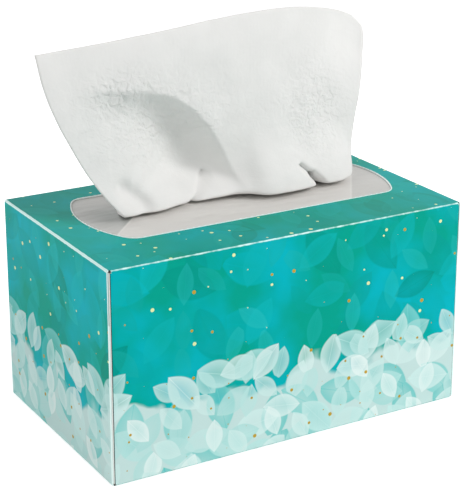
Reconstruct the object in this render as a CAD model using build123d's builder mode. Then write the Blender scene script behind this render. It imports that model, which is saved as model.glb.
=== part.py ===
from build123d import *
from math import cos, exp, pi, radians, sin
import os

# Pop-up carton of interfolded paper hand towels, with one towel standing in the slit of its window.
# Millimetres. The origin is the middle of the carton's underside, +X runs along the carton,
# +Y goes to the back and +Z is up.

# Towels
towel_width = 226.0  # along the carton
towel_length = 266.0  # unfolded, leading edge to trailing edge
towel_thickness = 0.7  # embossed sheet, lying loose
layer_gap = 0.3  # air between two layers of the stack
fold_chords = 4  # straight runs that stand for a turn of the paper
towel_count = 57  # the standing towel and the 56 below it

# Carton board and the room inside the carton
board = 0.55
crease_radius = 1.2  # outside of the long edges and of the flaps that are folded in first
end_crease_radius = 1.5  # outside of the creases over the two ends, which catch the light
side_room = 3.8  # from the folded towels to the front and back walls
end_room = 3.35  # from the towels' cut edges to the end flaps
floor_gap = 0.3  # under the bottom towel
head_room = 12.8  # from the stack to the window

# End flaps and the seam along the back
flap_setback = 1.0  # from a wall's outer face to the raw edge of a major flap
outer_flap_lift = 0.9  # from the table to the outer flap's lower edge
inner_flap_height = 96.0
minor_flap_reach = 62.0
minor_flap_setback = 1.6
minor_flap_corner = 14.0
glue_flap_width = 17.0
seam_lift = 0.35  # from the table to the back wall's raw lower edge

# Dispensing opening, torn out of the top
opening_length = 203.0
opening_width = 83.0
opening_end_rise = 13.0  # how far each end bows out
opening_corner = 11.0
opening_x = 6.0
opening_y = 8.5

# Window film, glued under the top
film = 0.1
film_glue_margin = 7.5
tent_inset = 3.0  # from the opening's edge to the foot of the lifted film
tent_point = 13.0  # how far the middle of each end of the foot stands out
film_lift = 1.6  # how far the towel pulls up the lips of the slit
lip_clearance = 0.3  # from a lip to the towel

# Standing towel: heights are over the slit's lips, and places along the carton from its middle
neck_width = 156.0  # gathered in the slit
neck_bend = 7.0  # middle radius of the turn from the stack up to the slit
left_corner = (-121.5, 101.0)
crest = (28.0, 112.5)
right_corner = (95.5, 93.0)
corner_droop = 6.0  # how far the leading edge falls before the right corner
waist = (88.5, 30.0)  # where the right edge is drawn in
shoulder = (-90.5, 25.0)  # where the left edge leaves its curve out of the slit
base_height = 9.0  # over which the straight neck opens into the folds
folds = (
    # across, up, breadth, tallness, depth towards the back
    (-40.0, 22.0, 34.0, 22.0, -9.0),  # lobe over the left half of the slit
    (-28.0, 62.0, 44.0, 18.0, 7.0),  # hollow under the leading edge
    (4.0, 38.0, 17.0, 24.0, 8.0),  # where the hollow runs down to the slit
    (40.0, 24.0, 26.0, 30.0, -9.5),  # swell over the right half of the slit
    (74.0, 34.0, 12.0, 40.0, 3.0),  # valley beside the right edge
    (-60.0, 100.0, 60.0, 26.0, -4.0),  # leading edge, tipped forward on the left
    (96.0, 92.0, 26.0, 34.0, 9.0),  # right corner, curled back
)
section_count = 12  # sections up the sheet
station_count = 13  # places across a section

# Worked out from the sizes above
layer_pitch = towel_thickness + layer_gap
layer_count = 2 * towel_count
fold_radius = 1.5 * layer_pitch
leaf_flat = towel_length / 2 - pi * fold_radius / 2
half_flat = leaf_flat / 2
stack_half_depth = half_flat + fold_radius + towel_thickness / 2
stack_top = board + floor_gap + layer_count * layer_pitch - layer_gap
half_length = towel_width / 2 + end_room + 3 * board
half_width = stack_half_depth + side_room + board
height = stack_top + head_room + film + board
film_z = height - board - film
lip_z = film_z + film + film_lift
wall_end = half_length - 2 * board - crease_radius
flap_half_width = half_width - flap_setback
foot_width = opening_width - 2 * tent_inset
slit_gap = towel_thickness + 2 * lip_clearance
slit_length = neck_width + 2 * lip_clearance + 2 * tent_point * slit_gap / foot_width

os.makedirs("parts", exist_ok=True)


def save(solid, name):
    """Labels a finished piece and writes it as a STEP file of the same name."""
    solid.label = name
    export_step(solid, "parts/" + name + ".step")


def pointed_corners(length, width, point):
    """Corners of a six-sided plate about the opening's middle, pointed at both of its ends."""
    side = length / 2 - point
    return [
        (opening_x - side, opening_y - width / 2),
        (opening_x + side, opening_y - width / 2),
        (opening_x + length / 2, opening_y),
        (opening_x + side, opening_y + width / 2),
        (opening_x - side, opening_y + width / 2),
        (opening_x - length / 2, opening_y),
    ]


# Minor flaps, folded in first from the front and back walls
with BuildPart() as minor_flap:
    with BuildSketch(Plane.XY.offset(minor_flap_setback)):
        with BuildLine():
            FilletPolyline(
                (wall_end - crease_radius, board / 2 - half_width),
                (half_length - 2.5 * board, board / 2 - half_width),
                (half_length - 2.5 * board, minor_flap_reach - half_width),
                radius=crease_radius - board / 2,
            )
        trace(line_width=board)
    extrude(amount=height - 2 * minor_flap_setback)
    chamfer(minor_flap.edges().filter_by(Axis.X).group_by(Axis.Y)[-1], minor_flap_corner)

# Inner major flap, folded up from the bottom over the minor flaps
with BuildPart() as inner_flap:
    with BuildSketch(Plane.XZ):
        with BuildLine():
            FilletPolyline(
                (wall_end - crease_radius, board / 2),
                (half_length - 1.5 * board, board / 2),
                (half_length - 1.5 * board, inner_flap_height),
                radius=end_crease_radius - board / 2,
            )
        trace(line_width=board)
    extrude(amount=flap_half_width, both=True)

# Outer major flap, folded down from the top and glued over the inner one
with BuildPart() as outer_flap:
    with BuildSketch(Plane.XZ):
        with BuildLine():
            FilletPolyline(
                (wall_end - crease_radius, height - board / 2),
                (half_length - board / 2, height - board / 2),
                (half_length - board / 2, outer_flap_lift),
                radius=end_crease_radius - board / 2,
            )
        trace(line_width=board)
    extrude(amount=flap_half_width, both=True)

# Carton: one printed blank, wrapped into a tube, glued along the back and closed at both ends
with BuildPart() as carton:
    with BuildSketch(Plane.YZ.offset(-wall_end)):
        with Locations((0, height / 2)):
            RectangleRounded(2 * half_width, height, crease_radius)
            inner_radius = crease_radius - board
            RectangleRounded(
                2 * (half_width - board), height - 2 * board, inner_radius, mode=Mode.SUBTRACT
            )
        with Locations((half_width - 1.5 * board, board)):
            Rectangle(board, glue_flap_width, align=(Align.CENTER, Align.MIN))
        with Locations((half_width - board, 0)):
            Rectangle(board, seam_lift, align=Align.MIN, mode=Mode.SUBTRACT)
    extrude(amount=2 * wall_end)
    for flap in (minor_flap.part, minor_flap.part.mirror(Plane.XZ), inner_flap.part, outer_flap.part):
        add(flap)
        add(flap.mirror(Plane.YZ))
    with BuildSketch(Plane.XY.offset(height - board)) as opening:
        side = opening_length / 2 - opening_end_rise
        low, middle, high = (opening_y + n * opening_width / 2 for n in (-1, 0, 1))
        left, right = opening_x - side, opening_x + side
        with BuildLine():
            Line((left, low), (right, low))
            ThreePointArc((right, low), (right + opening_end_rise, middle), (right, high))
            Line((right, high), (left, high))
            ThreePointArc((left, high), (left - opening_end_rise, middle), (left, low))
        make_face()
        fillet(opening.vertices(), opening_corner)
    extrude(amount=board, mode=Mode.SUBTRACT)
save(carton.part, "carton")

# The space under the film where the towel has pulled it up: a low roof whose slopes run from
# the edges of its foot to the lips of the slit
foot = pointed_corners(opening_length - 2 * tent_inset, foot_width, tent_point)
slit = pointed_corners(slit_length, slit_gap, tent_point * slit_gap / foot_width)
with BuildPart() as tent:
    with BuildSketch(Plane.XY.offset(film_z)):
        Polygon(*foot, align=None)
    extrude(amount=film_lift)
    for n in range(len(foot)):
        corner, before = Vector(*foot[n], film_z), Vector(*foot[n - 1], film_z)
        lip = Vector(*slit[n], film_z + film_lift)
        slope = Plane(origin=corner, x_dir=corner - before, z_dir=(corner - before).cross(lip - before))
        split(bisect_by=slope, keep=Keep.BOTTOM)

# Window film: flat where it is glued, lifted to the slit in the opening
with BuildPart() as window_film:
    with BuildSketch(Plane.XY.offset(film_z)):
        with Locations((opening_x, opening_y)):
            Rectangle(opening_length + 2 * film_glue_margin, opening_width + 2 * film_glue_margin)
    extrude(amount=film)
    add(tent.part.translate((0, 0, film)))
    add(tent.part, mode=Mode.SUBTRACT)
    with BuildSketch(Plane.XY.offset(film_z)):
        Polygon(*slit, align=None)
    extrude(amount=2 * film_lift, mode=Mode.SUBTRACT)
save(window_film.part, "window_film")


def layer_z(layer):
    """Middle height of a layer of the stack, counted down from 0 at the top."""
    return stack_top - towel_thickness / 2 - layer * layer_pitch


def fold_depth(across, up):
    """How far the standing sheet lies behind its slit at a place, by its folds."""
    opened = 1 - exp(-((up / base_height) ** 2))
    return opened * sum(
        depth * exp(-(((across - middle) / breadth) ** 2) - ((up - level) / tallness) ** 2)
        for middle, level, breadth, tallness, depth in folds
    )


def turn(centre, radius, start, end):
    """Corners of a turn of the paper in a side view, between two angles in degrees."""
    angles = (radians(start + (end - start) * n / fold_chords) for n in range(fold_chords + 1))
    return [(centre[0] + radius * cos(angle), centre[1] + radius * sin(angle)) for angle in angles]


# Standing towel, from the slit to its leading edge
with BuildPart() as standing_leaf:
    top = crest[1] + towel_thickness
    width = right_corner[0] - left_corner[0]
    for section in range(section_count):
        up = top * section / (section_count - 1)
        stations = [left_corner[0] + width * n / (station_count - 1) for n in range(station_count)]
        middles = [(x, opening_y + fold_depth(x, up)) for x in stations]
        with BuildSketch(Plane.XY.offset(lip_z + up)):
            with BuildLine():
                front = Spline([(x, y - towel_thickness / 2) for x, y in middles])
                back = Spline([(x, y + towel_thickness / 2) for x, y in middles])
                Line(front @ 0, back @ 0)
                Line(front @ 1, back @ 1)
            make_face()
    loft(ruled=True)
    neck_left = opening_x - neck_width / 2
    neck_right = opening_x + neck_width / 2
    with BuildSketch(Plane.XZ.offset(-opening_y)):
        with BuildLine():
            Line((neck_right, lip_z), (neck_left, lip_z))
            Spline(
                (neck_left, lip_z),
                (shoulder[0], lip_z + shoulder[1]),
                (left_corner[0], lip_z + left_corner[1]),
            )
            Spline(
                (left_corner[0], lip_z + left_corner[1]),
                (crest[0], lip_z + crest[1]),
                (right_corner[0] - corner_droop, lip_z + right_corner[1] + corner_droop / 2),
                (right_corner[0], lip_z + right_corner[1]),
            )
            Spline(
                (right_corner[0], lip_z + right_corner[1]),
                (waist[0], lip_z + waist[1]),
                (neck_right, lip_z),
            )
        make_face()
    extrude(amount=half_width, both=True, mode=Mode.INTERSECT)

# Its neck under the slit, the run over the stack and the turn around the next towel's leaf
run_out = crest[1] + lip_z - layer_z(0) - neck_bend + pi * neck_bend / 2
run_out += half_flat - opening_y - neck_bend + pi * layer_pitch
trailing = towel_length - run_out
front, back = (
    [(opening_y - side, lip_z)]
    + turn((opening_y + neck_bend, layer_z(0) + neck_bend), neck_bend + side, 180, 270)
    + turn((half_flat, layer_z(1)), layer_pitch - side, 90, -90)
    + [(half_flat - trailing, layer_z(2) + side)]
    for side in (towel_thickness / 2, -towel_thickness / 2)
)
with BuildPart() as trailing_leaf:
    with BuildSketch(Plane.YZ):
        Polygon(*front, *reversed(back), align=None)
    extrude(amount=towel_width / 2, both=True)
    with BuildSketch(Plane.XZ):
        Polygon(
            (-towel_width / 2, layer_z(3)),
            (towel_width / 2, layer_z(3)),
            (towel_width / 2, stack_top),
            (neck_right, film_z),
            (neck_right, lip_z),
            (neck_left, lip_z),
            (neck_left, film_z),
            (-towel_width / 2, stack_top),
            align=None,
        )
    extrude(amount=half_width, both=True, mode=Mode.INTERSECT)

with BuildPart() as standing_towel:
    add(standing_leaf.part)
    add(trailing_leaf.part)
save(standing_towel.part, "standing_towel")


def stacked_towel(number):
    """Folds one towel of the stack, by its number down from the standing one, which is 1."""
    upper = layer_z(2 * number - 3)
    lower = layer_z(min(2 * number, layer_count - 1))
    fold = (upper - lower) / 2
    lower_flat = towel_length - leaf_flat - pi * fold
    outside, inside = (
        [(-half_flat, upper + side)]
        + turn((half_flat, upper - fold), fold + side, 90, -90)
        + [(half_flat - lower_flat, lower - side)]
        for side in (towel_thickness / 2, -towel_thickness / 2)
    )
    with BuildPart() as towel:
        with BuildSketch(Plane.YZ):
            Polygon(*outside, *reversed(inside), align=None)
        extrude(amount=towel_width / 2, both=True)
    return towel.part if number % 2 else towel.part.mirror(Plane.XZ)


for number in range(2, towel_count + 1):
    save(stacked_towel(number), f"towel_{number:02d}")
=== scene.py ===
import logging
import math
from collections.abc import Callable
from dataclasses import dataclass, field
from enum import Enum
from functools import partial

import bpy
import numpy as np
from bpy.types import Material, Node, NodeSocket as Socket, NodeTree, Object, bpy_prop_collection as Outputs
from mathutils import Matrix, Vector
from numpy import ndarray

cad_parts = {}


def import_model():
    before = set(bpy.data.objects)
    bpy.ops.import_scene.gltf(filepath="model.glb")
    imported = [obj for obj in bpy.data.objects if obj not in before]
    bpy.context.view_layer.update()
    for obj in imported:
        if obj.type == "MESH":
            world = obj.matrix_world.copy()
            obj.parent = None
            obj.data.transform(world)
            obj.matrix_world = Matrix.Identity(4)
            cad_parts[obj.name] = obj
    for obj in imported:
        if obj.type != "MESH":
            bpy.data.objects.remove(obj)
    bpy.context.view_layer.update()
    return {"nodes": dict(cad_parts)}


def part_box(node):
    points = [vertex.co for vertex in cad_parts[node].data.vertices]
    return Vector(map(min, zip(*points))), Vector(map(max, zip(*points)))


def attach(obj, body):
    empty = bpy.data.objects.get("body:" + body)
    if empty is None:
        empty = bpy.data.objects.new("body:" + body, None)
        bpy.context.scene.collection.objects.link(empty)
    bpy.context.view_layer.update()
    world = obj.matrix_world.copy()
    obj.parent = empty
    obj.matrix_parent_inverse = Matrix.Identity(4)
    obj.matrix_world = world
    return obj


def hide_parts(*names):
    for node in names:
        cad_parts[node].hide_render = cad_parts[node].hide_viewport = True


log = logging.getLogger("towel_carton")
MM = 0.001


def to_linear(hex_colour: str) -> tuple[float, float, float, float]:
    """Turns a written colour into the linear values that shaders take.

    Args:
        hex_colour: the colour as six hex digits after a hash sign.

    Returns:
        Red, green and blue in linear light, and an alpha of 1.
    """
    parts = (int(hex_colour[n : n + 2], 16) / 255 for n in (1, 3, 5))
    red, green, blue = (c / 12.92 if c <= 0.04045 else ((c + 0.055) / 1.055) ** 2.4 for c in parts)
    return red, green, blue, 1.0


Feed = Socket | float | str | tuple[float, ...]  # words are colours in hex
Feeds = dict[int | str, Feed]
Add = Callable[..., Outputs]  # add_node, with its tree already given
Creases = tuple[tuple[float, float, float, float], ...]
Curve = tuple[tuple[float, float], ...]


def connect(tree: NodeTree, node: Node, feeds: Feeds) -> None:
    """Gives inputs of a node their values and links.

    Args:
        tree: the node tree that it is in.
        node: the node.
        feeds: a value, a written colour or another node's output, by the input's name or number.
    """
    for name, feed in feeds.items():
        if isinstance(feed, Socket):
            tree.links.new(feed, node.inputs[name])
        else:
            node.inputs[name].default_value = to_linear(feed) if isinstance(feed, str) else feed


def add_node(tree: NodeTree, kind: str, *feeds: Feed | Feeds, **settings: str | bool) -> Outputs:
    """Adds a node to a material with its settings and links.

    Inputs that share a name go by their number: a Mix of colours blends 6 into 7 by 0 and gives
    its output 2, and a MapRange maps 1 and 2 to 3 and 4.

    Args:
        tree: the node tree that gets it.
        kind: the node's type, without the prefix "ShaderNode", and then its operation, or what a
            Mix blends.
        feeds: what goes into its inputs, a value or another node's output, in the order of the
            inputs, or listed by their name or number.
        settings: the node's own settings.

    Returns:
        The new node's outputs.
    """
    kind, _, option = kind.partition(" ")
    node = tree.nodes.new("ShaderNode" + kind)
    if option:
        settings["data_type" if kind == "Mix" else "operation"] = option
    for name, value in settings.items():
        setattr(node, name, value)
    for place, feed in enumerate(feeds):
        connect(tree, node, feed if isinstance(feed, dict) else {place: feed})
    return node.outputs


def new_material(name: str) -> tuple[Material, Add]:
    """Starts a material with one main shader.

    Args:
        name: the material's real name and how its surface is made.

    Returns:
        The material, and what adds a node to it.
    """
    material = bpy.data.materials.new(name)
    material.use_nodes = True
    return material, partial(add_node, material.node_tree)


def finish(material: Material, surface: Feeds) -> Material:
    """Feeds a material's main shader. What is the same all over is set on the shader itself.

    Args:
        material: the material.
        surface: a value or a node's output, by the name of the shader's input.

    Returns:
        The finished material.
    """
    tree = material.node_tree
    connect(tree, next(node for node in tree.nodes if node.type == "BSDF_PRINCIPLED"), surface)
    return material


def dress(piece: Object, material: Material) -> None:
    """Gives a whole piece one material.

    Args:
        piece: the piece to dress.
        material: the material it gets.
    """
    piece.data.materials.clear()
    piece.data.materials.append(material)


def add_grid(name: str, columns: int, rows: int) -> Object:
    """Adds a flat grid with sides of 1, from which a piece is then shaped.

    Args:
        name: the piece's name.
        columns: how many faces it has along x.
        rows: how many it has along y.

    Returns:
        The piece.
    """
    bpy.ops.object.select_all(action="DESELECT")
    bpy.ops.mesh.primitive_grid_add(x_subdivisions=columns, y_subdivisions=rows, size=1.0)
    piece = bpy.context.object
    piece.name = piece.data.name = name
    return piece


def thicken(sheet: Object, thickness: float) -> None:
    """Gives a sheet its thickness, half of it to each side.

    Args:
        sheet: the flat faces.
        thickness: in millimetres.
    """
    solidify = sheet.modifiers.new("thickness", "SOLIDIFY")
    solidify.thickness = thickness * MM
    solidify.offset = 0.0
    bpy.ops.object.modifier_apply(modifier="thickness")


def smooth_through(points: Curve, places: ndarray) -> ndarray:
    """Reads a smooth curve through a few points at many places.

    Args:
        points: place and value pairs, in rising order of place.
        places: where the curve is read.

    Returns:
        The curve's value at each place.
    """
    at, value = np.array(points, float).T
    slope = np.gradient(value, at)
    n = np.clip(np.searchsorted(at, places) - 1, 0, len(at) - 2)
    span = at[n + 1] - at[n]
    t = np.clip((places - at[n]) / span, 0.0, 1.0)
    rise = t * t * (3 - 2 * t)
    start = t * (1 - t) ** 2 * span * slope[n]
    end = t * t * (t - 1) * span * slope[n + 1]
    return value[n] * (1 - rise) + value[n + 1] * rise + start + end


@dataclass(frozen=True)
class LeafLayer:
    """One layer of the print: leaf shapes scattered over the board, each turned its own way."""

    spacing: float  # mm between leaves
    length: float  # half length, as a share of the spacing
    width: float  # half width, as a share of the spacing
    lean: float  # degrees, which way they mostly point
    shift: float  # in spacings, slides the layer so that no two match
    pale: bool  # pale leaves gather low on the carton, deep ones high
    tints: tuple[str, str]
    strength: float


@dataclass(frozen=True)
class Spot:
    """What the board's shader knows of the point it colours, in metres along the carton's axes."""

    add: Add  # adds a node to the material
    place: Socket
    axes: tuple[Socket, ...]
    ways: tuple[Socket, ...]  # which way the face points, along each axis
    facing: tuple[Socket, ...]  # the same, without sign
    depths: tuple[Socket, ...]  # how far inside the outer faces the point is, along each axis
    high: Vector  # the carton's highest corner


@dataclass(frozen=True)
class PrintedCartonBoard:
    """Coated carton board, offset printed.

    A thin water-based coat gives a soft sheen over flat, see-through inks: a drift of leaves,
    deep teal above and pale mint below, with small foil-coloured flecks. The folds carry a painted
    highlight, and the top a painted shade. The cut edges and the inside show the grey-white board;
    the cut edges are lightened to mint as a painted highlight, and the gaps behind the end flaps'
    edges get painted shade.
    """

    deep: str = "#00A08C"
    deep_light: str = "#00B2BE"
    pale: str = "#C4DEDB"
    raw: str = "#E4E3DE"
    raw_light: str = "#F6F5F2"
    # the cut edges: the raw board's own pale colour, lightened and tinted mint as a painted highlight
    cut: str = "#E6FBF8"
    # painted shade in the gaps behind the end flaps' edges
    gap: str = "#22403E"
    # painted highlight along the folds
    crease: str = "#DCFCF8"
    gold: str = "#BE9E34"
    mint: str = "#E2F0AE"
    # painted shade on the top face: a deeper green over its print
    top_painted_shade: str = "#00917B"
    top_shade_share: float = 0.42  # how much of the painted shade the top gets
    boundary: float = 60.0  # mm up the walls, where the pale leaves give way to the deep ones
    ragged: float = 16.0  # mm, how far that line wanders from leaf to leaf
    leaf_turn: float = 1.6  # radians, between the leaves of a layer that are turned least and most
    looseness: float = 0.7  # of the leaves, from 0 in rows to 1
    slide_up: float = 0.7  # how far a layer slides up, as a share of how far it slides along
    vein: float = 0.010  # half width of a leaf's rib, as a share of the spacing
    fleck_spacing: float = 13.0  # mm
    mint_above: float = 125.0  # mm up the walls, over which every fleck is mint
    mint_spread: float = 70.0  # mm under that, where fewer and fewer are
    print_depth: float = 0.7  # mm inside the outer faces, to which a face counts as printed
    flap_depths: tuple[float, float] = (1.12, 2.2)  # mm, from the ends' faces to the gaps in them
    square_on: float = 0.7  # how straight a face points along an axis to belong to that side
    back_slide: float = 0.7  # m, slides the print on the back, so that it isn't the front's again
    clouds: float = 22.0  # per metre, in the deep ink: one every 45 mm
    highlight_breaks: float = 260.0  # per metre, breaks in the painted highlight along the folds: one every 4 mm
    fibres: float = 900.0  # per metre, drawn coarser than the real clumps of 0.2 mm so that they show
    waves: float = 14.0  # per metre, in the board's slow unevenness: one every 70 mm
    layers: tuple[LeafLayer, ...] = (
        LeafLayer(40, 0.50, 0.26, 35, 11, False, ("#00B8C6", "#008C70"), 0.65),
        LeafLayer(33, 0.48, 0.24, -50, 47, False, ("#008774", "#0CBABF"), 0.55),
        LeafLayer(28, 0.46, 0.20, 80, 83, False, ("#2CC2C0", "#00A096"), 0.45),
        LeafLayer(32, 0.52, 0.30, 60, 105, True, ("#7ECFCB", "#4CBEBB"), 0.85),
        LeafLayer(30, 0.52, 0.30, 20, 131, True, ("#A8DCD8", "#D2EBE8"), 0.90),
        LeafLayer(25, 0.52, 0.30, -35, 173, True, ("#DCEEEB", "#9AD5D1"), 0.85),
        LeafLayer(21, 0.50, 0.28, 75, 211, True, ("#EAF5F2", "#B6E0DC"), 0.80),
    )

    def build(self, high: Vector) -> Material:
        """Makes the board's material.

        Args:
            high: the carton's highest corner, in metres.

        Returns:
            The material, which knows printed faces from raw ones by their place and direction.
        """
        material, add = new_material("offset printed coated carton board")
        spot = self._read(add, high)
        printed = self._printed(spot)
        sheet = self._sheet(spot)
        ink = self._wash(spot, sheet)
        for layer in self.layers:
            ink = self._leaves(add, sheet, ink, layer)
        # painted shade: the top face is turned a deeper green than the walls
        on_top = add("Math MULTIPLY", spot.facing[2], self.top_shade_share)[0]
        ink = add("Mix RGBA", {0: on_top, 6: ink, 7: self.top_painted_shade})[2]
        ink = self._flecks(spot, sheet, ink)
        ink = self._paint_fold_highlights(spot, ink)
        fibre = add("TexNoise", {"Vector": spot.place, "Scale": self.fibres, "Detail": 4.0})[0]
        board = self._raw_board(spot, fibre)
        colour = add("Mix RGBA", {0: printed, 6: board, 7: ink})[2]
        matt = add("MapRange", {0: printed, 3: 0.75, 4: 0.34})[0]
        wave = add("TexNoise", {"Vector": spot.place, "Scale": self.waves, "Detail": 2.0})[0]
        rough = add("Math MULTIPLY_ADD", fibre, 0.02, wave)[0]
        bump = add("Bump", {"Height": rough, "Strength": 0.35, "Distance": 0.6 * MM})[0]
        surface = {"Base Color": colour, "Roughness": matt, "Specular IOR Level": 0.04, "Normal": bump}
        return finish(material, surface)

    @staticmethod
    def _read(add: Add, high: Vector) -> Spot:
        """Reads where a point of the board is, and which way its face points.

        Args:
            add: adds a node to the material.
            high: the carton's highest corner, in metres.

        Returns:
            The point, as the other methods take it.
        """
        place = add("TexCoord")
        axes = tuple(add("SeparateXYZ", place["Object"]))
        ways = tuple(add("SeparateXYZ", place["Normal"]))
        facing = tuple(add("Math ABSOLUTE", way)[0] for way in ways)
        depths = []
        for reach, axis in zip(high.xy, axes):
            off = add("Math ABSOLUTE", axis)[0]
            depths.append(add("Math SUBTRACT", reach, off)[0])
        under = add("Math SUBTRACT", high.z, axes[2])[0]
        depths.append(add("Math MINIMUM", under, axes[2])[0])
        return Spot(add, place["Object"], axes, ways, facing, tuple(depths), high)

    def _printed(self, spot: Spot) -> Socket:
        """Finds the printed side of the board: close to the carton's outer faces, and turned outwards.

        Args:
            spot: the point.

        Returns:
            1 on printed faces and 0 elsewhere.
        """
        add = spot.add
        upright = add("Math SUBTRACT", spot.axes[2], spot.high.z / 2)[0]
        inward, outward = 0.0, 0.0
        for way, size, depth, middle in zip(spot.ways, spot.facing, spot.depths, (*spot.axes[:2], upright)):
            inward = add("Math MULTIPLY_ADD", size, depth, inward)[0]
            side = add("Math SIGN", middle)[0]
            outward = add("Math MULTIPLY_ADD", way, side, outward)[0]
        near = add("Math LESS_THAN", inward, self.print_depth * MM)[0]
        turned_out = add("Math GREATER_THAN", outward, 0.0)[0]
        return add("Math MULTIPLY", near, turned_out)[0]

    def _sheet(self, spot: Spot) -> Socket:
        """Unfolds the carton: the print runs on around its corners and over onto its top.

        Args:
            spot: the point.

        Returns:
            The place on the flat printed sheet, in metres.
        """
        add = spot.add
        x, y, z = spot.axes
        on_end, on_top, on_back = (
            add("Math GREATER_THAN", way, self.square_on)[0]
            for way in (spot.facing[0], spot.facing[2], spot.ways[1])
        )
        side = add("Math SIGN", x)[0]
        beyond = y
        for operation, other in (("ADD", spot.high.x + spot.high.y), ("MULTIPLY", side), ("SUBTRACT", x)):
            beyond = add(f"Math {operation}", beyond, other)[0]
        along = add("Math MULTIPLY_ADD", beyond, on_end, x)[0]
        along = add("Math MULTIPLY_ADD", on_back, self.back_slide, along)[0]
        over = add("Math ADD", y, spot.high.y + spot.high.z)[0]
        over = add("Math SUBTRACT", over, z)[0]
        up = add("Math MULTIPLY_ADD", over, on_top, z)[0]
        return add("CombineXYZ", along, up)[0]

    def _wash(self, spot: Spot, sheet: Socket) -> Socket:
        """Lays the ground inks: cloudy teal above, and pale mint below.

        Args:
            spot: the point.
            sheet: its place on the printed sheet.

        Returns:
            The ground colour.
        """
        add = spot.add
        cloud = {"Vector": sheet, "Scale": self.clouds, "Detail": 3.0}
        wash = add("TexNoise", cloud, noise_dimensions="2D")[0]
        light = add("MapRange", wash, 0.35, 0.7)[0]
        ink = add("Mix RGBA", {0: light, 6: self.deep, 7: self.deep_light})[2]
        # the clouds bend the boundary, too
        height = add("Math MULTIPLY_ADD", wash, 50 * MM, spot.axes[2])[0]
        edge = {0: height, 1: (self.boundary + 9) * MM, 2: (self.boundary + 4) * MM}
        low_down = add("MapRange", edge, interpolation_type="SMOOTHSTEP")[0]
        return add("Mix RGBA", {0: low_down, 6: ink, 7: self.pale})[2]

    @staticmethod
    def _scatter(
        add: Add, sheet: Socket, spacing: float, looseness: float, slide: tuple[float, ...] = (0.0, 0.0)
    ) -> tuple[Socket, Outputs, Outputs]:
        """Spreads shapes over the printed sheet, one to each of its cells.

        Args:
            add: adds a node to the material.
            sheet: the place on the printed sheet.
            spacing: the mean distance between two shapes, in mm.
            looseness: how they lie, from 0 in rows to 1.
            slide: how far they all slide along and up, in cells.

        Returns:
            The place in cells, the cell's outputs, and three numbers drawn by chance for it.
        """
        spread = {0: sheet, "Location": (*slide, 0.0), "Scale": (1000 / spacing,) * 3}
        scaled = add("Mapping", spread)[0]
        scatter = {"Vector": scaled, "Scale": 1.0, "Randomness": looseness}
        cells = add("TexVoronoi", scatter, voronoi_dimensions="2D")
        return scaled, cells, add("SeparateColor", cells["Color"])

    def _leaves(self, add: Add, sheet: Socket, ink: Socket, layer: LeafLayer) -> Socket:
        """Lays one layer of leaves over the inks so far.

        Args:
            add: adds a node to the material.
            sheet: the place on the printed sheet.
            ink: the colour below.
            layer: what the leaves look like.

        Returns:
            The colour with the leaves on it.
        """
        slide = (layer.shift, layer.shift * self.slide_up)
        scaled, cells, chance = self._scatter(add, sheet, layer.spacing, self.looseness, slide)
        local = add("VectorMath SUBTRACT", scaled, cells["Position"])[0]
        least = math.radians(layer.lean) - self.leaf_turn / 2
        turn = add("Math MULTIPLY_ADD", chance[0], self.leaf_turn, least)[0]
        turned = add("VectorRotate", {"Vector": local, "Angle": turn}, rotation_type="Z_AXIS")[0]
        along, across, _ = add("SeparateXYZ", turned)
        reach = add("Math DIVIDE", along, layer.length)[0]
        reach = add("Math POWER", reach, 2.0)[0]
        half = add("Math MULTIPLY_ADD", reach, -layer.width, layer.width)[0]
        across = add("Math ABSOLUTE", across)[0]
        inside = add("Math SUBTRACT", half, across)[0]
        shape = add("MapRange", inside, 0.0, 0.03)[0]
        # a leaf's ink is full at its rim, thinner towards its middle, and fuller on its rib
        body = add("MapRange", inside, 0.0, layer.width, 1.0, 0.55)[0]
        rib = add("Math LESS_THAN", across, self.vein)[0]
        body = add("Math MULTIPLY_ADD", rib, 0.25, body)[0]
        middle = add("SeparateXYZ", cells["Position"])[1]
        level = -slide[1] * layer.spacing
        for part, size in ((middle, layer.spacing), (chance[1], self.ragged)):
            level = add("Math MULTIPLY_ADD", part, size, level)[0]
        limit, test = (10, "LESS_THAN") if layer.pale else (2, "GREATER_THAN")
        present = add(f"Math {test}", level, self.boundary + limit)[0]
        share = shape
        for factor in (body, present, layer.strength):
            share = add("Math MULTIPLY", share, factor)[0]
        first, second = layer.tints
        tint = add("Mix RGBA", {0: chance[2], 6: first, 7: second})[2]
        return add("Mix RGBA", {0: share, 6: ink, 7: tint})[2]

    def _flecks(self, spot: Spot, sheet: Socket, ink: Socket) -> Socket:
        """Scatters small flecks over the print, gold low on the carton and mostly mint high up.

        Args:
            spot: the point.
            sheet: its place on the printed sheet.
            ink: the colour below.

        Returns:
            The colour with the flecks on it.
        """
        add = spot.add
        _, cells, chance = self._scatter(add, sheet, self.fleck_spacing, 1.0)
        # a little over half the cells get a fleck, of up to 0.095 of the spacing in radius
        size = add("Math MULTIPLY_ADD", chance[0], 0.17, -0.075)[0]
        fleck = add("Math LESS_THAN", cells["Distance"], size)[0]
        height = add("Math MULTIPLY_ADD", chance[1], self.mint_spread * MM, spot.axes[2])[0]
        high_up = add("Math GREATER_THAN", height, self.mint_above * MM)[0]
        tint = add("Mix RGBA", {0: high_up, 6: self.gold, 7: self.mint})[2]
        return add("Mix RGBA", {0: fleck, 6: ink, 7: tint})[2]

    def _paint_fold_highlights(self, spot: Spot, ink: Socket) -> Socket:
        """Paints a highlight on the print along the folds round the top and bottom, in a broken line.

        Args:
            spot: the point.
            ink: the colour below.

        Returns:
            The colour with the painted highlight along the folds.
        """
        add = spot.add
        x, y, z = spot.facing
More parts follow.
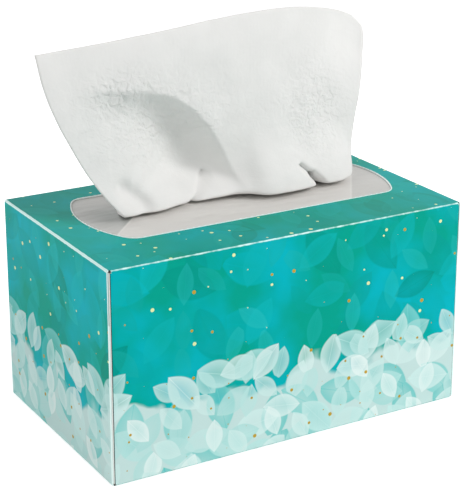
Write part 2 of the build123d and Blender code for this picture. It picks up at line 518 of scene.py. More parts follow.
        # only on a rounded fold does a face point two ways, and the long folds get less of the painted
        # highlight
        sides = add("Math MULTIPLY_ADD", y, 0.52, x)[0]
        fold = add("Math MULTIPLY", sides, z)[0]
        highlight_breaks = add("TexNoise", {"Vector": spot.place, "Scale": self.highlight_breaks, "Detail": 2.0})[0]
        fold = add("Math MULTIPLY_ADD", highlight_breaks, 0.3, fold)[0]
        highlight_share = add("MapRange", fold, 0.29, 0.44)[0]
        return add("Mix RGBA", {0: highlight_share, 6: ink, 7: self.crease})[2]

    def _raw_board(self, spot: Spot, fibre: Socket) -> Socket:
        """Colours the unprinted board, with a painted highlight on its cut edges and painted shade in the
        gaps behind the edges of the end flaps.

        Args:
            spot: the point.
            fibre: the fine pattern of the pulp.

        Returns:
            The board's colour, with its painted highlight and painted shade.
        """
        add = spot.add
        depth = spot.depths[0]
        outer, inner = (edge * MM for edge in self.flap_depths)
        board = add("Mix RGBA", {0: fibre, 6: self.raw, 7: self.raw_light})[2]
        # painted shade: on faces turned to the front or back, between the outer and the inner flap's depth,
        # the board is coloured dark
        behind = add("Math MULTIPLY", spot.facing[1], depth)[0]
        behind = add("Math GREATER_THAN", behind, outer)[0]
        between = add("Math LESS_THAN", depth, inner)[0]
        between = add("Math MULTIPLY", behind, between)[0]
        # the cut edges are the raw board, lightened and tinted mint as a painted highlight
        on_edge = add("Math LESS_THAN", depth, outer)[0]
        board = add("Mix RGBA", {0: on_edge, 6: board, 7: self.cut})[2]
        return add("Mix RGBA", {0: between, 6: board, 7: self.gap})[2]


@dataclass(frozen=True)
class TornBoardEdge:
    """Grey-white carton board torn along a perforation: matt, pale and fuzzy with loose fibres."""

    shade: str = "#E6F6F3"
    colour: str = "#FAFFFE"
    fibre: float = 0.5  # mm, tufts drawn coarser than the real 0.1 so that they show

    def build(self) -> Material:
        """Makes the torn edge's material.

        Returns:
            The material.
        """
        material, add = new_material("torn carton board edge")
        place = add("TexCoord")["Object"]
        tufts = add("TexNoise", {"Vector": place, "Scale": 1000 / self.fibre, "Detail": 3.0})[0]
        colour = add("Mix RGBA", {0: tufts, 6: self.shade, 7: self.colour})[2]
        bump = add("Bump", {"Height": tufts, "Strength": 0.6, "Distance": 0.1 * MM})[0]
        surface = {"Base Color": colour, "Roughness": 0.95, "Specular IOR Level": 0.1, "Normal": bump}
        return finish(material, surface)


@dataclass(frozen=True)
class EmbossedTissue:
    """Embossed paper tissue, crêped and pressed.

    It is matt and soft to the eye, with hardly any shine, cloudy fibres, fine pressed dots and,
    where it was pinched, small sharp creases.
    """

    colour: str = "#E9E8E6"
    shade: str = "#DFDEDC"
    emboss: float = 2.4  # mm between pressed dots, drawn coarser than the real 1.5 so that they show
    fibre: float = 0.6  # mm, drawn coarser than the real 0.05 so that they show
    wrinkle: float = 4.5  # mm, of the fine creases
    cloud: float = 17.0  # mm, of the thicker and thinner places in the paper
    stack_creased: float = 0.2  # how finely creased the stack is all over

    def build(self, size: tuple[float, float] | None) -> Material:
        """Makes the paper's material.

        Args:
            size: the width and length of a sheet that carries its own paper map and creased
                patches, or none for the folded stack.

        Returns:
            The material.
        """
        material, add = new_material("embossed paper tissue" if size else "folded paper tissue")
        place = add("TexCoord")
        if size:
            sheet = add("Mapping", {0: place["UV"], "Scale": (*size, 1.0)})[0]
            creased = add("Attribute", attribute_name="creased")["Fac"]
        else:
            sheet = add("Mapping", {0: place["Object"], "Scale": (1000.0,) * 3})[0]
            creased = self.stack_creased
        clouds = add("TexNoise", {"Vector": sheet, "Scale": 1 / self.cloud, "Detail": 4.0})[0]
        colour = add("Mix RGBA", {0: clouds, 6: self.shade, 7: self.colour})[2]
        dots = add("TexVoronoi", {"Vector": sheet, "Scale": 1 / self.emboss, "Randomness": 0.25})[0]
        fibres = add("TexNoise", {"Vector": sheet, "Scale": 1 / self.fibre, "Detail": 3.0})[0]
        pinch = {"Vector": sheet, "Scale": 1 / self.wrinkle, "Detail": 4.0, "Distortion": 0.6}
        wrinkles = add("TexNoise", pinch)[0]
        height = add("Math MULTIPLY", wrinkles, creased)[0]
        height = add("Math MULTIPLY_ADD", dots, 0.014, height)[0]
        height = add("Math MULTIPLY_ADD", fibres, 0.010, height)[0]
        bump = add("Bump", {"Height": height, "Strength": 0.9, "Distance": 2.2 * MM})[0]
        surface = {"Base Color": colour, "Roughness": 0.95, "Specular IOR Level": 0.15}
        return finish(material, surface | {"Sheen Weight": 0.1, "Normal": bump})


@dataclass(frozen=True)
class BlownFilm:
    """Blown polyethylene film: thin, milky and a little glossy.

    The pale stack shows through where it lies close behind. Towards the opening's ends, beyond
    the creases, it is painted grey as shade, and along its front creases it has a painted highlight.
    """

    colour: str = "#DCD9D5"
    # painted shade: the grey where the dark inside would show through
    far: str = "#8F9491"
    # painted highlight along the front creases
    crease: str = "#E6E4E0"
    crease_highlight: tuple[float, float] = (1.0, 0.1)  # mm off a front crease, where the painted highlight begins and is full
    ripples: tuple[float, float, float] = (34.0, 90.0, 30.0)  # per metre: 29 mm long and 11 mm across

    def build(self) -> Material:
        """Makes the film's material.

        Returns:
            The material, which reads from the film how much painted shade it gets, and how many
            millimetres off the next front crease, with its painted highlight, it is.
        """
        material, add = new_material("milky blown polyethylene film")
        place = add("TexCoord")["Object"]
        behind = add("Attribute", attribute_name="behind")["Fac"]
        off = add("Attribute", attribute_name="off_crease")["Fac"]
        # painted shade, as much as the film carries at each place
        colour = add("Mix RGBA", {0: behind, 6: self.colour, 7: self.far})[2]
        # painted highlight along the front creases
        begins, full = self.crease_highlight
        near = add("MapRange", off, begins, full, 0.0, 0.7)[0]
        colour = add("Mix RGBA", {0: near, 6: colour, 7: self.crease})[2]
        pulled = add("Mapping", {0: place, "Scale": self.ripples})[0]
        ripple = add("TexNoise", {"Vector": pulled, "Scale": 1.0, "Detail": 2.0})[0]
        bump = add("Bump", {"Height": ripple, "Strength": 1.0, "Distance": 1.4 * MM})[0]
        surface = {"Base Color": colour, "Roughness": 0.38, "IOR": 1.51, "Alpha": 0.93, "Normal": bump}
        return finish(material, surface)


class Fold(Enum):
    """What a mark in the standing sheet is: a rounded dent or bulge, or a line pressed into it."""

    ROUND = "round"
    LINE = "line"


@dataclass(frozen=True)
class Mark:
    """One fold of the standing sheet, in mm from the carton's middle and from the slit's lips."""

    kind: Fold
    start: tuple[float, float]  # across and up; a round mark's middle, or a line's first end
    end: tuple[float, float]  # a round mark's breadth and tallness, or a line's other end
    width: float  # of a line
    depth: float  # towards the back


@dataclass
class TopOpening:
    """The torn-out window in the carton's top: its edge, and the film glued behind it.

    Lengths are in millimetres, and places are from the carton's middle.
    """

    length: float = 203.0
    width: float = 83.0
    end_rise: float = 13.0  # how far each end bows out
    corner: float = 11.0
    x: float = 6.0
    y: float = 8.5
    board_low: float = 127.45  # underside of the carton's top, from the floor
    board_high: float = 128.0
    edge_points: int = 720
    tooth_pitch: float = 4.2  # between the little bridges that were torn
    tooth_points: float = 1.1  # points of the edge in half a tooth
    tear: tuple[float, float, float] = (0.25, 0.12, 0.25)  # how far it stands in, by chance, at a tooth
    overlap: float = 0.12  # of the torn edge into the board, and over its lower face
    tear_lift: tuple[float, float] = (0.15, 0.4)  # over the print, and more as it stands in
    film_size: tuple[float, float] = (218.0, 98.0)
    film_thickness: float = 0.1
    film_cells: tuple[int, int] = (70, 30)
    lift: float = 1.6  # of the slit's lips, over the glued film
    slit_half: float = 78.3
    slit_gap: float = 1.3
    inset: float = 3.0  # from the opening's edge to the foot of the lifted film
    glue_edge: float = 0.4  # from the opening's edge to where the film leaves the board
    right_shade: float = 0.30  # how grey the film's right facets look
    left_shade: tuple[float, float, float] = (0.25, 0.65, 24.0)  # left ones, more by the slit, how near
    unmarked: float = 99.0  # distance to the next crease where there is none
    creases: Creases = (
        # from under the towel to the edge of the opening: across and back, twice
        (-58, 8.5, -91, -25), (92, 8.5, 62, -36),
        (84.3, 8.5, 70, 47), (-72.3, 8.5, -58, 47),
    )

    @property
    def end_radius(self) -> float:
        """Gives the radius of the arc in which each end bows out."""
        return (self.end_rise**2 + (self.width / 2) ** 2) / (2 * self.end_rise)

    def outline(self, inset: ndarray) -> tuple[ndarray, ndarray]:
        """Follows the opening's edge all the way round, from the middle of its right end.

        Args:
            inset: how far inside the edge each point is; there are as many points as values.

        Returns:
            The points' places along the two axes.
        """
        half, radius = self.width / 2, self.end_radius
        middle = self.length / 2 - radius
        centre_y = half - self.corner
        centre_x = middle + math.sqrt((radius - self.corner) ** 2 - centre_y**2)
        turn = math.atan2(centre_y, centre_x - middle)
        runs = (radius * turn, self.corner * (math.pi / 2 - turn), centre_x)
        quarter = sum(runs)
        step = np.arange(len(inset))
        second_half = step >= len(inset) / 2
        part = 4 * quarter * step / len(inset) - np.where(second_half, 2 * quarter, 0.0)
        mirrored = part > quarter
        part = np.where(mirrored, 2 * quarter - part, part)
        on_end = part < runs[0]
        on_corner = (part >= runs[0]) & (part < runs[0] + runs[1])
        angle = np.where(on_end, part / radius, turn + (part - runs[0]) / self.corner)
        angle = np.where(on_end | on_corner, angle, math.pi / 2)
        reach = np.where(on_end, radius, self.corner) - inset
        x = np.where(on_end, middle, centre_x) + reach * np.cos(angle)
        y = np.where(on_end, 0.0, centre_y) + reach * np.sin(angle)
        x = np.where(on_end | on_corner, x, quarter - part)
        x = np.where(mirrored, -x, x)
        return self.x + np.where(second_half, -x, x), self.y + np.where(second_half, -y, y)

    def inside(self, x: ndarray, y: ndarray) -> ndarray:
        """Measures how far inside the opening places are.

        Args:
            x: places along the carton.
            y: places across the carton.

        Returns:
            The distance from the opening's edge, below 0 outside it.
        """
        beyond = np.abs(x - self.x) - (self.length / 2 - self.end_radius)
        from_end = self.end_radius - np.hypot(np.maximum(beyond, 0), y - self.y)
        return np.minimum(self.width / 2 - np.abs(y - self.y), from_end)

    def tear_edge(self, material: Material) -> Object:
        """Models the pale torn edge, with a little tooth at each bridge of the perforation.

        Args:
            material: the torn board.

        Returns:
            The finished ring, which lines the opening flush with the top.
        """
        ring = add_grid("torn_opening_edge", self.edge_points, 4)
        chance = np.random.default_rng(7)
        way = np.arange(self.edge_points)
        pitch = self.edge_points / round(2 * (self.length + self.width) / self.tooth_pitch)
        tooth = np.exp(-((((way + 0.5 * pitch) % pitch - 0.5 * pitch) / self.tooth_points) ** 2))
        least, loose, bridge = self.tear
        ragged = least + loose * chance.random(self.edge_points) + bridge * tooth
        outer, under = np.full(self.edge_points, -self.overlap), self.board_low + self.overlap
        top = self.board_high + self.tear_lift[0] + self.tear_lift[1] * ragged
        corners = ((outer, under), (outer, top), (ragged, top), (ragged, under), (outer, under))
        places = np.empty((len(corners), self.edge_points + 1, 3))
        for n, (inset, level) in enumerate(corners):
            places[n, :-1, 0], places[n, :-1, 1] = self.outline(inset)
            places[n, :-1, 2] = level
        places[:, -1] = places[:, 0]
        ring.data.vertices.foreach_set("co", (places * MM).ravel())
        ring.data.update()
        bpy.ops.object.mode_set(mode="EDIT")
        bpy.ops.mesh.select_all(action="SELECT")
        bpy.ops.mesh.remove_doubles(threshold=0.001 * MM)
        bpy.ops.mesh.normals_make_consistent(inside=False)
        bpy.ops.object.mode_set(mode="OBJECT")
        dress(ring, material)
        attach(ring, "root")
        return ring

    def _beyond(self, crease: tuple[float, ...], x: ndarray, y: ndarray) -> ndarray:
        """Measures places against a crease of the film.

        Args:
            crease: its end under the towel and its end at the edge, each along and across.
            x: places along the carton.
            y: places across the carton.

        Returns:
            The distance, above 0 on the side of the opening's nearer end.
        """
        start_x, start_y, end_x, end_y = crease
        dx, dy = end_x - start_x, end_y - start_y
        turn = math.copysign(1.0, start_x - self.x) * math.copysign(1.0, dy) / math.hypot(dx, dy)
        return turn * (dy * (x - start_x) - dx * (y - start_y))

    def _film_height(self, x: ndarray, y: ndarray) -> ndarray:
        """Finds how far the film is lifted, in flat facets that rise from its foot to the slit.

        Args:
            x: places along the carton.
            y: places across the carton.

        Returns:
            The height over the glued film.
        """
        half_gap = self.slit_gap / 2
        share = 1 - np.maximum(np.abs(y - self.y) - half_gap, 0) / (self.width / 2 - self.inset - half_gap)
        for side in (-1.0, 1.0):
            past = side * (x - self.x) - self.slit_half
            end = 1 - np.maximum(past, 0) / (self.length / 2 - self.inset - self.slit_half)
            share = np.minimum(share, end)
        foot = np.clip((self.inside(x, y) - self.glue_edge) / self.inset, 0, 1)
        return self.lift * np.clip(share, 0, 1) * foot

    def lay_film(self, material: Material) -> Object:
        """Models the film: glued flat under the board, and drawn up to the slit by the towel.

        Args:
            material: the film.

        Returns:
            The finished film, in place of its plain solid.
        """
        film = add_grid("window_film_sheet", *self.film_cells)
        film.location = (self.x * MM, self.y * MM, (self.board_low - self.film_thickness / 2) * MM)
        flat = (self.film_size[0] * MM, self.film_size[1] * MM)
        film.scale = (*flat, 1.0)
        bpy.ops.object.transform_apply(location=True, rotation=False, scale=True)
        bpy.ops.object.mode_set(mode="EDIT")
        cuts = [((self.x, self.y + side * self.slit_gap / 2), (0.0, 1.0)) for side in (-1, 1)]
        cuts += [((self.x + side * self.slit_half, self.y), (1.0, 0.0)) for side in (-1, 1)]
        for start_x, start_y, end_x, end_y in self.creases:
            cuts.append(((start_x, start_y), (end_y - start_y, start_x - end_x)))
        for (x, y), way in cuts:
            bpy.ops.mesh.select_all(action="SELECT")
            bpy.ops.mesh.bisect(plane_co=(x * MM, y * MM, 0), plane_no=(*Vector(way).normalized(), 0))
        bpy.ops.object.mode_set(mode="OBJECT")
        self._cut_slit(film)
        self._shape_film(film)
        thicken(film, self.film_thickness)
        dress(film, material)
        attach(film, "root")
        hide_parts("window_film")
        return film

    def _cut_slit(self, film: Object) -> None:
        """Deletes the faces between the lips of the slit, found by their place.

        Args:
            film: the flat film, already cut along the slit.
        """
        for face in film.data.polygons:
            x, y, _ = face.center / MM
            face.select = abs(y - self.y) < self.slit_gap / 2 and abs(x - self.x) < self.slit_half
        bpy.ops.object.mode_set(mode="EDIT")
        bpy.ops.mesh.select_mode(type="FACE")
        bpy.ops.mesh.delete(type="FACE")
        bpy.ops.object.mode_set(mode="OBJECT")

    def _shape_film(self, film: Object) -> None:
        """Lifts the film's points, and notes for its material its painted shade and the next front crease.

        Args:
            film: the flat film, already cut along the creases, so that a note can change there.
        """
        places = np.empty(len(film.data.vertices) * 3)
        film.data.vertices.foreach_get("co", places)
        places = places.reshape(-1, 3)
        x, y = places[:, 0] / MM, places[:, 1] / MM
        places[:, 2] += self._film_height(x, y) * MM
        film.data.vertices.foreach_set("co", places.ravel())
        corner_x, corner_y = (part[[loop.vertex_index for loop in film.data.loops]] for part in (x, y))
        middle = np.array([face.center[:2] for face in film.data.polygons for _ in face.loop_indices]) / MM
        behind, off = np.zeros(len(corner_x)), np.full(len(corner_x), self.unmarked)
        from_slit = np.hypot(np.abs(corner_x - self.x) - self.slit_half, corner_y - self.y)
        least, more, fade = self.left_shade
        left = least + more * np.exp(-((from_slit / fade) ** 2))
        for crease in self.creases:
            at_front = crease[3] < self.y
            on_right = crease[0] > self.x
            near_it = ((middle[:, 1] < self.y) == at_front) & ((middle[:, 0] > self.x) == on_right)
            past = near_it & (self._beyond(crease, middle[:, 0], middle[:, 1]) > 0)
            # painted shade: facets beyond a crease, towards the opening's ends, are painted grey, the left
            # ones more by the slit
            behind = np.where(past, self.right_shade if on_right else left, behind)
            # painted highlight: only the front creases are noted for it
            near = np.abs(self._beyond(crease, corner_x, corner_y))
            off = np.where(near_it & at_front, np.minimum(off, near), off)
        for name, values in (("behind", behind), ("off_crease", off)):
            note = film.data.attributes.new(name, "FLOAT", "CORNER")
            note.data.foreach_set("value", values)
        film.data.update()


@dataclass
class StandingTowel:
    """The towel that stands in the slit, down through the film and over the stack, as one sheet.

    Lengths are in millimetres. Heights are over the slit's lips.
    """

    width: float = 226.0
    length: float = 266.0
    thickness: float = 0.45
    columns: int = 151
    rows_up: int = 112
    rows_down: int = 70
    neck: tuple[float, float] = (-72.0, 81.0)  # ends of the gathered sheet in the slit
    slit_y: float = 8.5
    lip: float = 129.05
    stack_top: float = 114.2  # middle of the top layer
    bend: float = 7.0
    half_flat: float = 65.32
    layer_pitch: float = 1.0
    base_height: float = 1.1  # over which the sheet opens out of the slit
    opening_out: float = 1.4  # how suddenly it does so
    row_crowding: float = 1.6  # above 1, rows lie closer together near the slit
    rim: tuple[float, float] = (14.0, 1.15)  # breadth of the hollow's steep rim, and how sharp it is
    hollow_reach: float = 44.0  # from the rim, over which the hollow runs out
    foot: tuple[float, float, float] = (11.0, 0.12, -12.0)  # height of its lower end, more left of a place
    roll_shape: tuple[float, float, float] = (1.6, 5.0, 0.95)  # swell, height, and more as it is deeper
    unpinched: float = 0.04  # how finely creased the paper is everywhere
    gather_depth: float = 1.7  # under the lips, where the sheet starts to spread again
    spread_above: float = 0.35  # over the stack, where it has its whole width
    left_edge: Curve = (
        # share of the height, across
        (0, -72), (0.05, -77), (0.12, -82.5), (0.25, -90.5), (0.42, -100),
        (0.6, -109.2), (0.81, -117.3), (1, -121.6),
    )
    right_edge: Curve = (
        (0, 81), (0.03, 83), (0.08, 85.5), (0.2, 89.5), (0.32, 92.5), (0.45, 95),
        (0.6, 98), (0.8, 102), (0.95, 104), (1, 103),
    )
    leading_edge: Curve = (
        # share across the sheet, height
        (0, 101), (0.18, 103.6), (0.33, 106.2), (0.47, 109), (0.6, 111), (0.69, 111.6),
        (0.78, 110.6), (0.86, 107.8), (0.93, 103.2), (0.97, 99), (1, 92.5),
    )
    arch: tuple[tuple[float, float, float], ...] = (
        # rim of the hollow: across, up, and how far the sheet sinks inside it
        (-96, 77, 0), (-71, 74.5, 9), (-52, 71.5, 16), (-35.5, 66.5, 21),
        (-24, 59, 23), (-11, 45.5, 27), (-1, 27.5, 28), (7, 9, 23), (9, 4, 14),
    )
    marks: tuple[Mark, ...] = (
        Mark(Fold.ROUND, (-62, 28), (26, 26), 0, -4),  # lobe over the left of the slit
        Mark(Fold.ROUND, (34, 30), (26, 44), 0, -3),  # swell over the right of the slit
        Mark(Fold.ROUND, (2, 5), (13, 7), 0, -3.5),  # small pillow at the foot of the hollow
        Mark(Fold.ROUND, (72, 42), (11, 34), 0, 1.5),  # valley beside the right edge
        Mark(Fold.ROUND, (-45, 96), (70, 20), 0, -3),  # leading edge, tipped forward
        Mark(Fold.ROUND, (99, 96), (22, 30), 0, 9),  # right corner, curled back
        Mark(Fold.LINE, (-31, -1), (-9, 13.5), 1.7, 4.6),  # short crease at the foot of the hollow
        Mark(Fold.LINE, (-70, 15), (-61, 7.5), 5.6, 6),  # dimple in the lobe
        Mark(Fold.LINE, (46, 15), (54, 8), 1.6, 4.5),  # crease between the two hems, and
        Mark(Fold.LINE, (54, 8), (61.5, -1), 2.2, 9),  # its open end
    )
    waves: tuple[tuple[float, tuple[float, ...], tuple[float, ...]], ...] = (
        # slow waves of loose paper: height, and for each of two crossing trains its radians per mm
        # across and up, and its start
        (0.35, (0.11, 0.05, 0), (0, 0.083, 1.3)), (0.21, (0.23, -0.13, 0.7), (0.04, 0.19, 0)),
    )
    hem: tuple[tuple[float, float, float], ...] = (
        # roll of the sheet over the film: across, how far forward, and how high it is furthest forward
        (-80, 12, 1.4), (-73, 13, 1.4), (-60, 14, 1.5), (-50, 13, 1.6), (-31, 8.5, 1.6),
        (-22, 8.5, 1.8), (-8, 8.5, 2.6), (2, 8.5, 3.4), (10, 13, 3), (18, 18.5, 2),
        (32, 20, 1.7), (44, 19, 1.6), (56, 18, 1.6), (64, 18.5, 1.6), (74, 18.5, 1.8),
        (81, 15, 2.2), (88, 11, 3),
    )
    patches: tuple[tuple[float, float, float, float], ...] = (
        # finely creased patches: across, up, breadth, tallness
        (62, 48, 20, 26), (-40, 52, 38, 22), (-70, 74, 22, 12),
    )

    def depth(self, across: ndarray, up: ndarray) -> ndarray:
        """Adds up the folds that shape the standing sheet.

        Args:
            across: places along the carton.
            up: heights over the lips.

        Returns:
            How far the sheet lies behind its slit, or below 0 in front of it.
        """
        total = self._hollow(across, up)
        for mark in self.marks:
            if mark.kind is Fold.ROUND:
                (x, z), (breadth, tallness) = mark.start, mark.end
                total += mark.depth * np.exp(-(((across - x) / breadth) ** 2 + ((up - z) / tallness) ** 2))
            else:
                near, _ = self._to_segment(across, up, mark.start, mark.end)
                total += mark.depth * np.exp(-((near / mark.width) ** 2))
        for height, (ax, az, a), (bx, bz, b) in self.waves:
            total += height * np.sin(ax * across + az * up + a) * np.sin(bx * across + bz * up + b)
        total -= self._roll(across, up)
        return total * (1 - np.exp(-((np.maximum(up, 0) / self.base_height) ** self.opening_out)))

    @staticmethod
    def _to_segment(
        across: ndarray, up: ndarray, start: tuple[float, float], end: tuple[float, float]
    ) -> tuple[ndarray, ndarray]:
        """Measures places against a straight line between two points.

        Args:
            across: places along the carton.
            up: heights over the lips.
            start: the line's first end.
            end: the line's other end.

        Returns:
            The distance to the line, and the nearest point's share of the way along it.
        """
        dx, dz = end[0] - start[0], end[1] - start[1]
        share = np.clip(((across - start[0]) * dx + (up - start[1]) * dz) / (dx * dx + dz * dz), 0, 1)
        return np.hypot(across - start[0] - share * dx, up - start[1] - share * dz), share

    def _hollow(self, across: ndarray, up: ndarray) -> ndarray:
        """Sinks the sheet inside the arch: steeply at the rim, then rising slowly to the lower left.

        Args:
            across: places along the carton.
            up: heights over the lips.

        Returns:
            The depth of the hollow, 0 outside the arch.
        """
        best = np.full(across.shape, np.inf)
        depth = np.zeros(across.shape)
        inside = np.zeros(across.shape, bool)
        for (x0, z0, d0), (x1, z1, d1) in zip(self.arch, self.arch[1:]):
            near, share = self._to_segment(across, up, (x0, z0), (x1, z1))
            side = (x1 - x0) * (up - z0) - (z1 - z0) * (across - x0) < 0
            closer = near < best
            best = np.where(closer, near, best)
            depth = np.where(closer, d0 + (d1 - d0) * share, depth)
            inside = np.where(closer, side, inside)
        breadth, sharpness = self.rim
        rim = np.where(inside, 1 - np.exp(-((best / breadth) ** sharpness)), 0.0)
        height, growth, left_of = self.foot
        height = height + growth * np.maximum(left_of - across, 0)
        foot = 1 - np.exp(-((np.maximum(up, 0) / height) ** 3))
        return depth * rim * np.exp(-((best / self.hollow_reach) ** 2)) * foot

    def _roll(self, across: ndarray, up: ndarray) -> ndarray:
        """Rolls the foot of the sheet forward over the film, with a little gap under its middle.

        Args:
            across: places along the carton.
            up: heights over the lips.

        Returns:
            How far the sheet comes forward.
        """
        forward = smooth_through([(x, far) for x, far, _ in self.hem], across)
        level = smooth_through([(x, high) for x, _, high in self.hem], across)
        rise = np.maximum(up, 0)
        swell, height, growth = self.roll_shape
        under = 1 - np.exp(-swell * (rise / level) ** 2)
        return forward * under * np.exp(-((rise / (height + growth * forward)) ** 2))

    def pinched(self, across: ndarray, up: ndarray) -> ndarray:
        """Says how finely creased the paper is.

        Args:
            across: places along the carton.
            up: heights over the lips.

        Returns:
            A share at each place, from 0 to about 1.
        """
        total = np.full(across.shape, self.unpinched)
        for x, z, breadth, tallness in self.patches:
            total += np.exp(-(((across - x) / breadth) ** 2) - ((up - z) / tallness) ** 2)
        return total

    def _standing(self) -> tuple[ndarray, ndarray, ndarray]:
        """Places the rows from the leading edge down to the lips.

        Returns:
            Across, depth and height of each point, in rows from the top.
        """
        share = np.linspace(0, 1, self.columns)
        up_share = (1 - np.linspace(0, 1, self.rows_up)) ** self.row_crowding
        share, up_share = np.meshgrid(share, up_share)
        left = smooth_through(self.left_edge, up_share)
        right = smooth_through(self.right_edge, up_share)
        across = left + (right - left) * share
        up = smooth_through(self.leading_edge, share) * up_share
        return across, self.slit_y + self.depth(across, up), self.lip + up

    def _hidden(self, standing_length: float) -> tuple[ndarray, ndarray, ndarray]:
        """Places the rows from the lips down the neck, over the stack, around its fold and back.

        Args:
            standing_length: how much of the sheet stands above the lips.

        Returns:
            Across, depth and height of each point, in rows from the lips.
        """
        hidden = self.length - standing_length
        runs = (
            # length, and radius: none where it is straight, below 0 where it turns down
            (self.lip - self.stack_top - self.bend, 0),
            (math.pi * self.bend / 2, self.bend),
            (self.half_flat - self.slit_y - self.bend, 0),
            (math.pi * self.layer_pitch, -self.layer_pitch),
            (hidden, 0),
        )
        ahead = np.linspace(0, hidden, self.rows_down + 1)[1:]
        y, z = np.full(ahead.shape, self.slit_y), np.full(ahead.shape, self.lip)
        heading = -math.pi / 2
        for length, radius in runs:
            gone = np.clip(ahead, 0, length)
            ahead = ahead - length
            if radius:
                y += radius * (np.sin(heading + gone / radius) - math.sin(heading))
                z -= radius * (np.cos(heading + gone / radius) - math.cos(heading))
                heading += length / radius
            else:
                y += gone * math.cos(heading)
                z += gone * math.sin(heading)
        top = self.lip - self.gather_depth
        spread = np.clip((top - z) / (top - self.stack_top - self.spread_above), 0, 1)
        share = np.linspace(0, 1, self.columns)
        left = self.neck[0] + (-self.width / 2 - self.neck[0]) * spread
        right = self.neck[1] + (self.width / 2 - self.neck[1]) * spread
        across = left[:, None] + (right - left)[:, None] * share[None, :]
        return across, np.repeat(y[:, None], self.columns, 1), np.repeat(z[:, None], self.columns, 1)

    def build(self, material: Material) -> Object:
        """Args:
            material: the paper it is made of.

        Returns:
            The finished sheet.
        """
        standing = self._standing()
        middle = self.columns // 2
        steps = [np.diff(part[:, middle]) for part in standing]
        hidden = self._hidden(float(np.sqrt(sum(step**2 for step in steps)).sum()))
        across, depth, height = (np.vstack(pair) for pair in zip(standing, hidden))
        rows = self.rows_up + self.rows_down
        towel = add_grid("standing_towel_sheet", self.columns - 1, rows - 1)
        places = np.stack((across, depth, height), -1)[::-1].reshape(-1, 3) * MM
        towel.data.vertices.foreach_set("co", places.ravel())
        creased = towel.data.attributes.new("creased", "FLOAT", "POINT")
        creased.data.foreach_set("value", self.pinched(across, height - self.lip)[::-1].ravel())
        towel.data.update()
        thicken(towel, self.thickness)
        bpy.ops.object.shade_smooth()
        dress(towel, material)
        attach(towel, "root")
        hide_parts("standing_towel")
        return towel


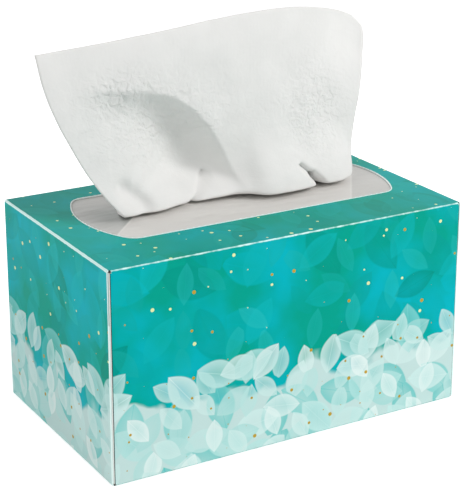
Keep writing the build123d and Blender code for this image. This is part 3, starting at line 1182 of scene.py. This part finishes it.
@dataclass
class Studio:
    """A pale floor, soft light and the photograph's viewpoint."""

    # the viewpoint was fitted to the carton's corners in the photograph
    eye: Vector = field(default_factory=lambda: Vector((-0.46419, -0.80321, 0.43128)))
    right: Vector = field(default_factory=lambda: Vector((0.865365, -0.501143, 0.0)))
    up: Vector = field(default_factory=lambda: Vector((0.152593, 0.263494, 0.952516)))
    focal_px: float = 1620.0
    photo_width: int = 467
    photo_height: int = 500
    centre_up: float = 60.0  # px from the middle of the frame up to the line of sight
    sensor: float = 36.0  # mm
    floor_drop: float = 0.0002  # m under the carton, so that no two faces coincide
    floor_glow: float = 0.45
    ambient: float = 0.40
    lamps: tuple[tuple[str, tuple[float, float, float], float, float], ...] = (
        # name, place and side in metres, power in watts
        ("key", (0.95, -0.95, 1.05), 0.7, 16.0),
        ("fill", (-1.2, -0.5, 0.9), 0.9, 5.0),
        ("back", (-0.35, 1.35, 0.35), 0.9, 8.0),
    )

    def add_camera(self) -> None:
        """Puts the camera where the photograph was taken from."""
        back = self.right.cross(self.up)
        data = bpy.data.cameras.new("camera")
        data.sensor_width = self.sensor
        data.lens = self.focal_px * self.sensor / max(self.photo_width, self.photo_height)
        data.shift_y = -self.centre_up / max(self.photo_width, self.photo_height)
        camera = bpy.data.objects.new("camera", data)
        turn = Matrix((self.right, self.up, back)).transposed().to_4x4()
        camera.matrix_world = Matrix.Translation(self.eye) @ turn
        bpy.context.scene.collection.objects.link(camera)
        bpy.context.scene.camera = camera

    def add_lamp(self, name: str, place: tuple[float, float, float], size: float, power: float) -> None:
        """Hangs one soft lamp that points at the carton.

        Args:
            name: the lamp's name.
            place: where it hangs, in metres.
            size: its side, in metres.
            power: its power, in watts.
        """
        data = bpy.data.lights.new(name, "AREA")
        data.shape = "SQUARE"
        data.size = size
        data.energy = power
        lamp = bpy.data.objects.new(name, data)
        lamp.location = place
        lamp.rotation_euler = (Vector((0, 0, 0.1)) - Vector(place)).to_track_quat("-Z", "Y").to_euler()
        bpy.context.scene.collection.objects.link(lamp)

    def add_floor(self) -> None:
        """Lays a broad floor of matt white paper under the carton.

        It glows a little, only where the camera sees it, so that it is an even white. The
        carton's soft shadow hardly shows on it.
        """
        bpy.ops.object.select_all(action="DESELECT")
        bpy.ops.mesh.primitive_plane_add(size=8.0, location=(0, 0, -self.floor_drop))
        floor = bpy.context.object
        floor.name = "floor"
        white = "#FFFFFF"
        material, add = new_material("white studio paper")
        seen = add("LightPath")["Is Camera Ray"]
        glow = add("Math MULTIPLY", seen, self.floor_glow)[0]
        surface = {"Base Color": white, "Roughness": 1.0, "Emission Color": white}
        dress(floor, finish(material, surface | {"Emission Strength": glow}))

    def light_room(self) -> None:
        """Sets the soft light from all round and the lamps. The world itself is seen as white."""
        bpy.context.scene.view_settings.view_transform = "Standard"
        world = bpy.data.worlds.new("studio")
        bpy.context.scene.world = world
        world.use_nodes = True
        add = partial(add_node, world.node_tree)
        background = next(node for node in world.node_tree.nodes if node.type == "BACKGROUND")
        path = add("LightPath")
        seen = path["Is Camera Ray"]
        for other in ("Is Glossy Ray", "Is Transmission Ray"):
            seen = add("Math MAXIMUM", seen, path[other])[0]
        strength = add("MapRange", {0: seen, 3: self.ambient, 4: 1.0})[0]
        connect(world.node_tree, background, {"Color": "#FFFFFF", "Strength": strength})
        for lamp in self.lamps:
            self.add_lamp(*lamp)


def main() -> None:
    """Builds the dressed carton and its studio, and reports each piece."""
    logging.basicConfig(level=logging.INFO, format="%(message)s")
    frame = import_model()
    nodes = frame["nodes"]

    _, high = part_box("carton")
    dress(nodes["carton"], PrintedCartonBoard().build(high))
    log.info("carton: printed board")

    opening = TopOpening()
    edge = opening.tear_edge(TornBoardEdge().build())
    log.info("torn edge of the opening: %d faces", len(edge.data.polygons))
    film = opening.lay_film(BlownFilm().build())
    log.info("window film: %d faces", len(film.data.polygons))

    folded = EmbossedTissue().build(None)
    stack = [name for name in nodes if name.startswith("towel_")]
    for name in stack:
        dress(nodes[name], folded)
    log.info("stack: %d folded towels", len(stack))

    towel = StandingTowel()
    piece = towel.build(EmbossedTissue().build((towel.width, towel.length)))
    log.info("standing towel: %d faces", len(piece.data.polygons))

    studio = Studio()
    studio.add_floor()
    studio.light_room()
    studio.add_camera()


if __name__ == "__main__":
    main()
